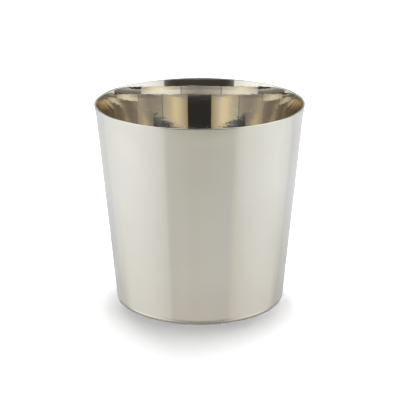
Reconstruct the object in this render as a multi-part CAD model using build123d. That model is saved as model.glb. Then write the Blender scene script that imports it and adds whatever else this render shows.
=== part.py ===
from build123d import *
from math import radians, tan
import os

# Deep drawn cup of polished stainless steel, drawn from one flat disc of sheet.
# The origin is at the centre of the foot, on the surface the cup stands on, and +Z runs up the axis.
# Lengths are in millimetres and angles in degrees.

# Overall form
lip_diameter = 85.0
cup_height = 82.9
sheet = 0.8
wall_angle = 5.1  # lean of the straight wall away from the axis

# Mouth: over its last stretch the wall bends gently outwards, and its cut edge is polished round
flare_height = 7.4
flare_angle = 4.7  # how much further the lip leans out than the straight wall

# Foot: the corner turns into a flat ring to stand on, and inside it the base is pressed up a little
base_corner_radius = 2.0  # on the outside of the sheet
standing_ring_width = 3.5
panel_rise = 1.2
panel_slope_width = 1.2
panel_bend_radius = 0.8  # on the inside of both bends of the slope

# Places on the centre line of the sheet that follow from the sizes above
half_sheet = sheet / 2
lip_radius = lip_diameter / 2 - half_sheet
lip_z = cup_height - half_sheet
flare_mid_z = lip_z - flare_height / 2
flare_mid_radius = lip_radius - (lip_z - flare_mid_z) * tan(radians(wall_angle + flare_angle))
foot_radius = flare_mid_radius - (flare_mid_z - half_sheet) * tan(radians(wall_angle))
ring_inner_radius = foot_radius - base_corner_radius - standing_ring_width
panel_radius = ring_inner_radius - panel_slope_width

# The flare is one long arc, tangent to the wall and ending just short of the lip
flare_bend_radius = 0.98 * (flare_height / 2) / tan(radians(flare_angle / 2))


def sheet_centre_line():
    """The middle of the sheet from the axis out along the base and up the wall to the lip."""
    corners = [
        (0, panel_rise + half_sheet),
        (panel_radius, panel_rise + half_sheet),
        (ring_inner_radius, half_sheet),
        (foot_radius, half_sheet),
        (flare_mid_radius, flare_mid_z),
        (lip_radius, lip_z),
    ]
    bends = [
        panel_bend_radius + half_sheet,
        panel_bend_radius + half_sheet,
        base_corner_radius - half_sheet,
        flare_bend_radius,
    ]
    return FilletPolyline(*corners, radius=bends)


def make_cup():
    """One sheet of even thickness, turned once round the axis, with a fully rounded lip."""
    with BuildPart() as cup:
        with BuildSketch(Plane.XZ):
            with BuildLine():
                sheet_centre_line()
            trace(line_width=sheet)
            with Locations((lip_radius, lip_z)):
                Circle(half_sheet)
        revolve(axis=Axis.Z)
    return cup.part


os.makedirs("parts", exist_ok=True)
export_step(make_cup(), "parts/cup.step")
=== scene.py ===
import math

import bpy
from mathutils import Matrix, Vector


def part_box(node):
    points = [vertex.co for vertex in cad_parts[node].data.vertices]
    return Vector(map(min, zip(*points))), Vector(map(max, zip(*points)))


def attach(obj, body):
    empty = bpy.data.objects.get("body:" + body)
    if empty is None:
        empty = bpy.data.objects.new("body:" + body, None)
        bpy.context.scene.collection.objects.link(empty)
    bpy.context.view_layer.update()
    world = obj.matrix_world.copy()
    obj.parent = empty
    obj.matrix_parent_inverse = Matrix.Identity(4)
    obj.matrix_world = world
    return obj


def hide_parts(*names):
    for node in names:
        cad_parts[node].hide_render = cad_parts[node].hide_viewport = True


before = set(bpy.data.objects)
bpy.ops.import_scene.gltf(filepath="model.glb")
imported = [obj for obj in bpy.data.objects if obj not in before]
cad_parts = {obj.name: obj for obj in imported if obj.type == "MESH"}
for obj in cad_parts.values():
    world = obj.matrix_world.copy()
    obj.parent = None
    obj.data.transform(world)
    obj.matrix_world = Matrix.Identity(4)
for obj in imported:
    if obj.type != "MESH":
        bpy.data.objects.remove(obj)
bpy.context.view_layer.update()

# The cup: one disc of stainless steel sheet, deep drawn in a press and trimmed at the mouth. The
# wall leans out evenly and opens a little more over its last stretch. The base is pressed up inside
# a flat ring that the cup stands on, and the cut edge of the mouth is polished fully round.
cup_low, cup_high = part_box("cup")
sheet = 0.0008
lip_middle = Vector(((cup_high.x - cup_low.x) / 2 - sheet / 2, cup_high.z - sheet / 2))
wall_lean = math.radians(5.1)
flare_lean = wall_lean + math.radians(4.7)
flare_height = 0.0074
flare_fill = 0.98
base_corner_radius = 0.0020
standing_ring = 0.0035
panel_rise = 0.0012
panel_slope = 0.0012
panel_bend = 0.0008 + sheet / 2
panel_middle = 0.002
around = 448

flare_corner = lip_middle - flare_height / 2 * Vector((math.tan(flare_lean), 1))
foot_corner = flare_corner - (flare_corner.y - sheet / 2) * Vector((math.tan(wall_lean), 1))
ring_corner = foot_corner - Vector((base_corner_radius + standing_ring, 0))
panel_corner = ring_corner + Vector((-panel_slope, panel_rise))
axis_start = Vector((panel_middle, panel_corner.y))
flare_bend = flare_fill * flare_height / 2 / math.tan((flare_lean - wall_lean) / 2)
lip_end = lip_middle + sheet / 2 * Vector((math.sin(flare_lean), math.cos(flare_lean)))


def rounded(before, corner, after, radius, steps):
    """The rings of one bend in the sheet, between the straight runs on each side of a corner."""
    going_in = (corner - before).normalized()
    going_out = (after - corner).normalized()
    turn = going_in.angle_signed(going_out)
    start = corner - going_in * radius * math.tan(abs(turn) / 2)
    side = math.copysign(1, turn)
    centre = start + radius * side * Vector((going_in.y, -going_in.x))
    turns = [Matrix.Rotation(-turn * step / steps, 2) for step in range(steps + 1)]
    return [centre + turned @ (start - centre) for turned in turns]


def straight(start, end, shares):
    """The rings along one straight run, close together at its ends to keep the shading true."""
    return [start.lerp(end, share) for share in shares]


panel_edge = rounded(axis_start, panel_corner, ring_corner, panel_bend, steps=8)
ring_edge = rounded(panel_corner, ring_corner, foot_corner, panel_bend, steps=8)
base_bend = base_corner_radius - sheet / 2
base_edge = rounded(ring_corner, foot_corner, flare_corner, base_bend, steps=14)
flare = rounded(foot_corner, flare_corner, lip_middle, flare_bend, steps=26)
wall_shares = (0.001, 0.005, 0.02, 0.1, 0.3, 0.5, 0.7, 0.9, 0.98, 0.995, 0.999)
section = (
    straight(axis_start, panel_edge[0], (0, 0.1, 0.3, 0.6, 0.9, 0.99))
    + panel_edge
    + straight(panel_edge[-1], ring_edge[0], (0.5,))
    + ring_edge
    + straight(ring_edge[-1], base_edge[0], (0.05, 0.5, 0.95))
    + base_edge
    + straight(base_edge[-1], flare[0], wall_shares)
    + flare
    + [lip_end]
)

bpy.ops.object.select_all(action="DESELECT")
bpy.ops.mesh.primitive_circle_add(
    vertices=around, radius=section[0].x, fill_type="TRIFAN", location=(0, 0, 0)
)
cup = bpy.context.object
cup.name = cup.data.name = "steel_cup"
bpy.ops.object.mode_set(mode="EDIT")
bpy.ops.mesh.select_mode(type="EDGE")
bpy.ops.mesh.select_all(action="SELECT")
bpy.ops.transform.translate(value=(0, 0, section[0].y))
bpy.ops.mesh.select_all(action="DESELECT")
bpy.ops.mesh.select_non_manifold()
for ring, next_ring in zip(section, section[1:]):
    bpy.ops.mesh.extrude_region_move(
        TRANSFORM_OT_translate={"value": (0, 0, next_ring.y - ring.y)}
    )
    grow = next_ring.x / ring.x
    bpy.ops.transform.resize(value=(grow, grow, 1), center_override=(0, 0, 0))
bpy.ops.mesh.select_all(action="SELECT")
bpy.ops.mesh.remove_doubles(threshold=1e-6)
bpy.ops.mesh.normals_make_consistent(inside=False)
bpy.ops.object.mode_set(mode="OBJECT")

wall = cup.modifiers.new("sheet", "SOLIDIFY")
wall.thickness = sheet
wall.offset = 0
wall.use_even_offset = True
wall.use_quality_normals = True
bpy.ops.object.modifier_apply(modifier=wall.name)

# The cut edge is found by its place, just under the top, and both of its corners are rounded until
# the two rounds all but meet.
bpy.ops.object.mode_set(mode="EDIT")
bpy.ops.mesh.select_all(action="DESELECT")
bpy.ops.object.mode_set(mode="OBJECT")
edge_line = lip_end.y - 0.0001
for edge in cup.data.edges:
    ends = [cup.data.vertices[v].co for v in edge.vertices]
    level = abs(ends[0].z - ends[1].z) < 1e-6
    edge.select = level and all(end.z > edge_line for end in ends)
bpy.ops.object.mode_set(mode="EDIT")
bpy.ops.mesh.bevel(offset=sheet / 2 * 0.999, offset_type="OFFSET", segments=8, affect="EDGES")
bpy.ops.mesh.select_all(action="SELECT")
bpy.ops.mesh.remove_doubles(threshold=2e-6)
bpy.ops.object.mode_set(mode="OBJECT")
bpy.ops.object.shade_smooth()

# The steel's finish: a bright polish with soft streaks and hair-fine grooves, all of them running
# round the wall. The inside is the brighter side, and the outside has a softer, hazier polish.
dull_steel = (0.80, 0.756, 0.68)
bright_steel = (0.82, 0.776, 0.70)
micrometre = 1e-6
streak_depth = 2.7
groove_depth = 0.3

outside = cup.data.attributes.new("outside", "FLOAT", "POINT")
for vertex, mark in zip(cup.data.vertices, outside.data):
    across = Vector((vertex.co.x, vertex.co.y, 0)).normalized()
    mark.value = 1 if max(vertex.normal.dot(across), -vertex.normal.z) > 0.01 else 0

steel = bpy.data.materials.new("polished_steel")
steel.use_nodes = True
nodes, links = steel.node_tree.nodes, steel.node_tree.links
shader = nodes["Principled BSDF"]
shader.inputs["Metallic"].default_value = 1.0


def round_lines(along, up, detail, start, end):
    """Noise drawn out round the cup: its cells per metre, and the part of its range in use."""
    where = nodes.new("ShaderNodeTexCoord")
    stretch = nodes.new("ShaderNodeMapping")
    stretch.inputs["Scale"].default_value = (along, along, up)
    noise = nodes.new("ShaderNodeTexNoise")
    noise.inputs["Scale"].default_value = 1.0
    noise.inputs["Detail"].default_value = detail
    span = nodes.new("ShaderNodeMapRange")
    span.inputs["From Min"].default_value = start
    span.inputs["From Max"].default_value = end
    links.new(where.outputs["Object"], stretch.inputs["Vector"])
    links.new(stretch.outputs["Vector"], noise.inputs["Vector"])
    links.new(noise.outputs["Fac"], span.inputs["Value"])
    return span.outputs["Result"]


def reckon(operation, *values):
    """A Math node, with each value a number or another node's output."""
    node = nodes.new("ShaderNodeMath")
    node.operation = operation
    for socket, value in zip(node.inputs, values):
        if isinstance(value, (int, float)):
            socket.default_value = value
        else:
            links.new(value, socket)
    return node.outputs[0]


def blended(share, one, other):
    """One colour turning into another."""
    node = nodes.new("ShaderNodeMix")
    node.data_type = "RGBA"
    links.new(share, node.inputs["Factor"])
    for socket, value in ((node.inputs[6], one), (node.inputs[7], other)):
        if isinstance(value, tuple):
            socket.default_value = (*value, 1)
        else:
            links.new(value, socket)
    return node.outputs[2]


patches = round_lines(along=55, up=80, detail=3, start=0.3, end=0.7)
streaks = round_lines(along=200, up=1050, detail=1, start=0.3, end=0.7)
grooves = round_lines(along=170, up=9000, detail=1, start=0.62, end=0.85)
finish = nodes.new("ShaderNodeAttribute")
finish.attribute_name = "outside"
roughness = nodes.new("ShaderNodeMix")
inside_roughness = reckon("MULTIPLY_ADD", patches, 0.015, 0.02)
outside_roughness = reckon("MULTIPLY_ADD", patches, 0.03, 0.115)
links.new(finish.outputs["Fac"], roughness.inputs["Factor"])
links.new(inside_roughness, roughness.inputs[2])
links.new(outside_roughness, roughness.inputs[3])
links.new(roughness.outputs[0], shader.inputs["Roughness"])
links.new(blended(patches, dull_steel, bright_steel), shader.inputs["Base Color"])
streak_height = reckon("MULTIPLY", streaks, streak_depth)
height = reckon("MULTIPLY_ADD", grooves, groove_depth, streak_height)
bump = nodes.new("ShaderNodeBump")
bump.inputs["Distance"].default_value = micrometre
links.new(height, bump.inputs["Height"])
links.new(bump.outputs["Normal"], shader.inputs["Normal"])
cup.data.materials.clear()
cup.data.materials.append(steel)

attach(cup, "root")
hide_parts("cup")

# The table: a sheet of glossy white acrylic. The camera sees it burnt out to white, apart from the
# soft shadow round the foot. The steel sees a painted glow on it instead of lit acrylic, with the
# studio mirrored in it: painted light given at three distances from the axis, with painted shade
# from the cup near the foot that is darkest close under the cup's front edge.
burnt_out = 1.63
table_gloss = 0.45
foot_reach = 0.038
near_reach = 0.068
far_reach = 0.155
contact_start = 0.0338
contact_end = 0.0385
bounce_loss = 0.65


def ramp(share, stops, lowest=-180, highest=180):
    """A colour ramp over a range of degrees."""
    node = nodes.new("ShaderNodeValToRGB")
    links.new(share, node.inputs[0])
    elements = node.color_ramp.elements
    while len(elements) < len(stops):
        elements.new(0.5)
    for element, (angle, colour) in zip(elements, stops):
        element.position = (angle - lowest) / (highest - lowest)
        element.color = (*colour, 1)
    return node.outputs[0]


def greys(*stops):
    """Stops of grey for a ramp."""
    return [(angle, (grey, grey, grey)) for angle, grey in stops]


bpy.ops.object.select_all(action="DESELECT")
bpy.ops.mesh.primitive_plane_add(size=6, location=(0, 0, 0))
table = bpy.context.object
table.name = "table"
acrylic = bpy.data.materials.new("white_acrylic")
acrylic.use_nodes = True
nodes, links = acrylic.node_tree.nodes, acrylic.node_tree.links
nodes.clear()
place = nodes.new("ShaderNodeTexCoord")
axes = nodes.new("ShaderNodeSeparateXYZ")
links.new(place.outputs["Object"], axes.inputs[0])
across_squared = reckon("POWER", axes.outputs["X"], 2)
reach_squared = reckon("MULTIPLY_ADD", axes.outputs["Y"], axes.outputs["Y"], across_squared)
reach = reckon("SQRT", reach_squared)
side = reckon("ARCTAN2", axes.outputs["X"], reckon("MULTIPLY", axes.outputs["Y"], -1))
side_share = reckon("MULTIPLY_ADD", side, 1 / (2 * math.pi), 0.5)


def from_reach(start, end):
    """How far a place on the table has come from one distance from the axis to another."""
    node = nodes.new("ShaderNodeMapRange")
    node.inputs["From Min"].default_value = start
    node.inputs["From Max"].default_value = end
    links.new(reach, node.inputs["Value"])
    return node.outputs["Result"]


# Painted light and shade of the table round the cup: at the foot, close by and further out. The low
# values near the foot are the cup's shadow painted in, and the brighter turns face the lit walls.
painted_foot_tones = ramp(side_share, [
    (-180, (0.34, 0.345, 0.355)), (-116, (0.45, 0.455, 0.475)), (-98, (0.37, 0.368, 0.376)),
    (-60, (0.43, 0.43, 0.41)), (-15, (0.558, 0.538, 0.496)), (15, (0.508, 0.481, 0.425)),
    (60, (0.365, 0.36, 0.333)), (92, (0.355, 0.358, 0.352)), (116, (0.48, 0.487, 0.51)),
    (180, (0.34, 0.345, 0.355)),
])
near = ramp(side_share, [
    (-180, (0.43, 0.435, 0.445)), (-125, (0.41, 0.42, 0.425)), (-60, (0.528, 0.537, 0.511)),
    (-30, (0.528, 0.532, 0.487)), (-15, (0.568, 0.554, 0.496)), (6, (0.52, 0.503, 0.436)),
    (30, (0.495, 0.486, 0.418)), (60, (0.499, 0.508, 0.477)), (105, (0.375, 0.383, 0.38)),
    (143, (0.52, 0.53, 0.545)), (180, (0.43, 0.435, 0.445)),
])
far = ramp(side_share, [
    (-180, (0.57, 0.592, 0.625)), (-110, (0.548, 0.58, 0.61)), (-70, (0.627, 0.645, 0.651)),
    (-42, (0.573, 0.592, 0.569)), (-34, (0.523, 0.522, 0.472)), (-5, (0.482, 0.47, 0.395)),
    (7, (0.44, 0.427, 0.33)), (34, (0.47, 0.461, 0.386)), (47, (0.55, 0.568, 0.542)),
    (90, (0.572, 0.605, 0.615)), (120, (0.508, 0.532, 0.58)), (150, (0.625, 0.645, 0.665)),
    (180, (0.57, 0.592, 0.625)),
])
# Painted contact shade: the glow is darkened to about a third at the foot's edge in front, and not
# at all at the sides and back.
edge_shade_level = ramp(side_share, greys((-180, 1), (-60, 1), (-20, 0.4), (15, 0.3), (60, 1), (180, 1)))
edge_shade_depth = reckon("SUBTRACT", 1, edge_shade_level)
painted_contact_shade = reckon("MULTIPLY_ADD", from_reach(contact_start, contact_end), edge_shade_depth, edge_shade_level)
close = blended(from_reach(foot_reach, near_reach), painted_foot_tones, near)
close = blended(painted_contact_shade, (0, 0, 0), close)
# The painted glow, dimmed after a diffuse bounce, plus the studio mirrored in the acrylic.
path = nodes.new("ShaderNodeLightPath")
bounced = reckon("GREATER_THAN", path.outputs["Diffuse Depth"], 0.5)
painted_table_glow = nodes.new("ShaderNodeEmission")
links.new(blended(from_reach(near_reach, far_reach), close, far), painted_table_glow.inputs["Color"])
links.new(reckon("MULTIPLY_ADD", bounced, -bounce_loss, 1), painted_table_glow.inputs["Strength"])
gloss = nodes.new("ShaderNodeBsdfAnisotropic")
gloss.inputs["Color"].default_value = (table_gloss, table_gloss, table_gloss, 1)
gloss.inputs["Roughness"].default_value = 0.1
mirrored = nodes.new("ShaderNodeAddShader")
links.new(painted_table_glow.outputs[0], mirrored.inputs[0])
links.new(gloss.outputs[0], mirrored.inputs[1])

# Painted light: a faint glow on the table just under the rounded base corner, so the shadow isn't
# black there.
corner_glow_start = 0.0372
corner_glow_end = 0.0342
corner_glow_strength = 0.17
painted_corner_glow = nodes.new("ShaderNodeEmission")
corner_glow_level = reckon("MULTIPLY", from_reach(corner_glow_start, corner_glow_end), corner_glow_strength)
links.new(corner_glow_level, painted_corner_glow.inputs["Strength"])
white = nodes.new("ShaderNodeBsdfDiffuse")
white.inputs["Color"].default_value = (burnt_out, burnt_out, burnt_out, 1)
page = nodes.new("ShaderNodeAddShader")
links.new(white.outputs[0], page.inputs[0])
links.new(painted_corner_glow.outputs[0], page.inputs[1])
seen = nodes.new("ShaderNodeMixShader")
links.new(path.outputs["Is Camera Ray"], seen.inputs[0])
links.new(mirrored.outputs[0], seen.inputs[1])
links.new(page.outputs[0], seen.inputs[2])
below = nodes.new("ShaderNodeNewGeometry")
clear = nodes.new("ShaderNodeBsdfTransparent")
one_sided = nodes.new("ShaderNodeMixShader")
links.new(below.outputs["Backfacing"], one_sided.inputs[0])
links.new(seen.outputs[0], one_sided.inputs[1])
links.new(clear.outputs[0], one_sided.inputs[2])
out = nodes.new("ShaderNodeOutputMaterial")
links.new(one_sided.outputs[0], out.inputs[0])
table.data.materials.append(acrylic)

# The studio that the steel mirrors: a lit wall on each side, a grey wall behind with a dark seam in
# each corner, and an open, dark front with a lit shelf across it and a dim window above. Turns are
# counted in degrees from the front, to the right, and rises from level, upwards.
world = bpy.data.worlds.new("studio")
bpy.context.scene.world = world
world.use_nodes = True
world.cycles.sampling_method = "NONE"
nodes, links = world.node_tree.nodes, world.node_tree.links
nodes.clear()
left_edge = 40.0
right_edge = 41.2
left_corner = 137.9
right_corner = 130.8
edge_softness = 0.3
seam_half = 0.7
seam_end = 1
left_end = left_corner - seam_end
right_end = right_corner - seam_end
seam = (0.0593, 0.0592, 0.0675)
unlit = (0.0494, 0.0493, 0.0482)

where = nodes.new("ShaderNodeTexCoord")
split = nodes.new("ShaderNodeSeparateXYZ")
links.new(where.outputs["Generated"], split.inputs[0])
turn = reckon("ARCTAN2", split.outputs["X"], reckon("MULTIPLY", split.outputs["Y"], -1))
turn_share = reckon("MULTIPLY_ADD", turn, 1 / (2 * math.pi), 0.5)
half_turn_share = reckon("DIVIDE", reckon("ABSOLUTE", turn), math.pi)
rise_share = reckon("MULTIPLY_ADD", reckon("ARCSINE", split.outputs["Z"]), 1 / math.pi, 0.5)


def walls(left, right, back):
    """The walls at one level: each side wall's colours from the front on, then the back wall's."""
    stops = []
    for way, corner, side_wall in ((-1, left_corner, left), (1, right_corner, right)):
        half = [*side_wall, (corner - seam_half, seam), (corner + seam_half, seam)]
        half += zip((corner + seam_end, 158, 180), back)
        stops += [(way * angle, colour) for angle, colour in half]
    return ramp(turn_share, sorted(stops))


def rising(stops):
    """Colours from straight below to straight above."""
    return ramp(rise_share, stops, -90, 90)


def either_side(stops):
    """Colours from the front to the back, the same on the left and on the right."""
    return ramp(half_turn_share, stops, 0, 180)


def background(colour, strength=1.0):
    """A Background shader."""
    node = nodes.new("ShaderNodeBackground")
    node.inputs["Strength"].default_value = strength
    if isinstance(colour, tuple):
        node.inputs["Color"].default_value = (*colour, 1)
    else:
        links.new(colour, node.inputs["Color"])
    return node.outputs[0]


low_walls = walls(
    [
        (40, (0.88, 0.91, 0.92)), (58, (1.11, 1.15, 1.19)), (90, (1.16, 1.21, 1.21)),
        (left_end, (0.94, 0.96, 0.91)),
    ],
    [
        (41, (0.84, 0.87, 0.90)), (62, (1.08, 1.12, 1.17)), (90, (1.16, 1.20, 1.20)),
        (right_end, (0.88, 0.89, 0.84)),
    ],
    [(0.63, 0.61, 0.55), (0.51, 0.49, 0.43), (0.41, 0.39, 0.34)],
)
middle_walls = walls(
    [
        (40, (0.66, 0.69, 0.72)), (65, (1.11, 1.16, 1.18)), (92, (1.27, 1.32, 1.30)),
        (114, (1.13, 1.17, 1.14)), (left_end, (0.98, 1.01, 1.00)),
    ],
    [
        (41, (0.74, 0.76, 0.77)), (71, (1.08, 1.10, 1.10)), (92, (1.15, 1.18, 1.12)),
        (119, (0.92, 0.93, 0.89)), (right_end, (0.75, 0.77, 0.75)),
    ],
    [(0.68, 0.68, 0.65), (0.53, 0.53, 0.51), (0.45, 0.44, 0.43)],
)
upper_walls = walls(
    [
        (40, (0.53, 0.50, 0.38)), (60, (0.88, 0.85, 0.67)), (77, (1.21, 1.18, 0.97)),
        (92, (1.23, 1.20, 0.98)), (117, (0.81, 0.79, 0.65)), (left_end, (0.58, 0.58, 0.56)),
    ],
    [
        (41, (0.52, 0.49, 0.38)), (66, (0.96, 0.93, 0.76)), (84, (1.19, 1.14, 0.90)),
        (103, (0.88, 0.86, 0.71)), (right_end, (0.62, 0.62, 0.60)),
    ],
    [(0.47, 0.48, 0.49), (0.38, 0.38, 0.40), (0.36, 0.36, 0.385)],
)
high_wall = [
    (40, (0.415, 0.434, 0.492)), (65, (0.553, 0.572, 0.646)), (88, (0.691, 0.709, 0.781)),
]
high_walls = walls(
    [*high_wall, (110, (0.80, 0.82, 0.81)), (left_end, (0.70, 0.72, 0.74))],
    [*high_wall, (110, (0.76, 0.78, 0.77)), (right_end, (0.66, 0.68, 0.70))],
    [(0.60, 0.62, 0.67), (0.42, 0.425, 0.445), (0.29, 0.29, 0.30)],
)
overhead = either_side([
    (42, (0.049, 0.0496, 0.048)), (62, (0.741, 0.769, 0.79)), (78, (1.136, 1.164, 1.176)),
    (100, (1.383, 1.419, 1.446)), (130, (1.136, 1.173, 1.205)), (160, (0.55, 0.56, 0.57)),
])
room = blended(rising(greys((6, 0), (11, 1))), low_walls, middle_walls)
room = blended(rising(greys((12.8, 0), (14.8, 1))), room, upper_walls)
room = blended(rising(greys((17.6, 0), (22.5, 1))), room, high_walls)
room = blended(rising(greys((30, 0), (40, 1))), room, overhead)
gap_rise = rising(greys((25, 0), (29, 1), (36, 1), (42, 0)))
gap_behind = either_side(greys((114, 0), (130, 1)))
room = blended(reckon("MULTIPLY", gap_rise, gap_behind), room, unlit)

dark = (0.0454, 0.0483, 0.0559)
shelf = (0.247, 0.256, 0.27)
shelf_top = (0.74, 0.79, 0.83)
left_window = (0.168, 0.207, 0.318)
right_window = (0.277, 0.345, 0.52)


def opening(window):
    """The dark opening with its shelf, and the colour of the dim window high up in it."""
    return rising([
        (9.8, shelf), (10.7, (0.38, 0.41, 0.435)), (12.2, (0.46, 0.495, 0.525)),
        (13, shelf_top), (13.6, shelf_top), (14.1, dark), (17, dark),
        (21, (0.084, 0.0867, 0.0944)), (24, (0.119, 0.128, 0.145)), (25.5, window),
        (31, window), (34, dark), (50, unlit),
    ])


floor = ramp(turn_share, [
    (-left_edge, (0.198, 0.187, 0.173)), (-38, (0.168, 0.158, 0.149)),
    (-36, (0.109, 0.103, 0.0964)), (-33, (0.0612, 0.0572, 0.0511)),
    (-28, (0.0494, 0.0453, 0.0386)), (28, (0.0543, 0.0473, 0.0405)),
    (34, (0.0691, 0.0651, 0.0559)), (37, (0.104, 0.0985, 0.0887)),
    (39, (0.148, 0.138, 0.13)), (right_edge, (0.217, 0.207, 0.193)),
])
right_half = ramp(turn_share, greys((-6, 0), (6, 1)))
front = blended(right_half, opening(left_window), opening(right_window))
front = blended(rising(greys((6.2, 0), (7, 1))), floor, front)
in_front = ramp(turn_share, greys(
    (-left_edge - edge_softness, 0), (-left_edge + edge_softness, 1),
    (right_edge - edge_softness, 1), (right_edge + edge_softness, 0),
))
studio = background(blended(in_front, room, front))

# The soft light that throws the cup's shadow on the table: a round patch straight above, and a
# paler band behind the cup that comes further round on the right. Only the table sees it.
shadow_light_strength = 9.6
from_top = reckon("DIVIDE", reckon("ARCCOSINE", split.outputs["Z"]), math.pi / 2)
patch = ramp(from_top, greys((0, 1), (10, 0.57), (20, 0.12), (30, 0)), 0, 90)
behind = ramp(turn_share, greys(
    (-180, 0.20), (-168, 0.25), (-155, 0.23), (-140, 0), (110, 0), (125, 0.03), (140, 0.15),
    (155, 0.18), (168, 0.18), (180, 0.20),
))
shadow_light = nodes.new("ShaderNodeMix")
shadow_light.data_type = "RGBA"
shadow_light.blend_type = "ADD"
links.new(rising(greys((70, 1), (80, 0))), shadow_light.inputs["Factor"])
links.new(patch, shadow_light.inputs[6])
links.new(behind, shadow_light.inputs[7])
soft_light = background(shadow_light.outputs[2], shadow_light_strength)

page_white = background((1, 1, 1))
path = nodes.new("ShaderNodeLightPath")
bounced = reckon("GREATER_THAN", path.outputs["Diffuse Depth"], 0.5)
reflected = nodes.new("ShaderNodeMixShader")
links.new(bounced, reflected.inputs[0])
links.new(studio, reflected.inputs[1])
links.new(soft_light, reflected.inputs[2])
seen = nodes.new("ShaderNodeMixShader")
links.new(path.outputs["Is Camera Ray"], seen.inputs[0])
links.new(reflected.outputs[0], seen.inputs[1])
links.new(page_white, seen.inputs[2])
out = nodes.new("ShaderNodeOutputWorld")
links.new(seen.outputs[0], out.inputs[0])
bpy.context.scene.cycles.max_bounces = 24
bpy.context.scene.cycles.glossy_bounces = 24

# The camera: a long lens at 56 cm, looking down at the cup by 18 degrees.
bpy.ops.object.camera_add()
camera = bpy.context.object
aim = Vector((0.00008, 0, 0.04102))
tilt = -0.0012
camera.location = (0, -0.5315, 0.2164)
look = (aim - camera.location).to_track_quat("-Z", "Y").to_matrix()
camera.rotation_euler = (look @ Matrix.Rotation(tilt, 3, "Z")).to_euler()
camera.data.sensor_width = 36
camera.data.lens = 121.76
camera.data.clip_start = 0.01
bpy.context.scene.camera = camera
bpy.context.scene.view_settings.view_transform = "Standard"
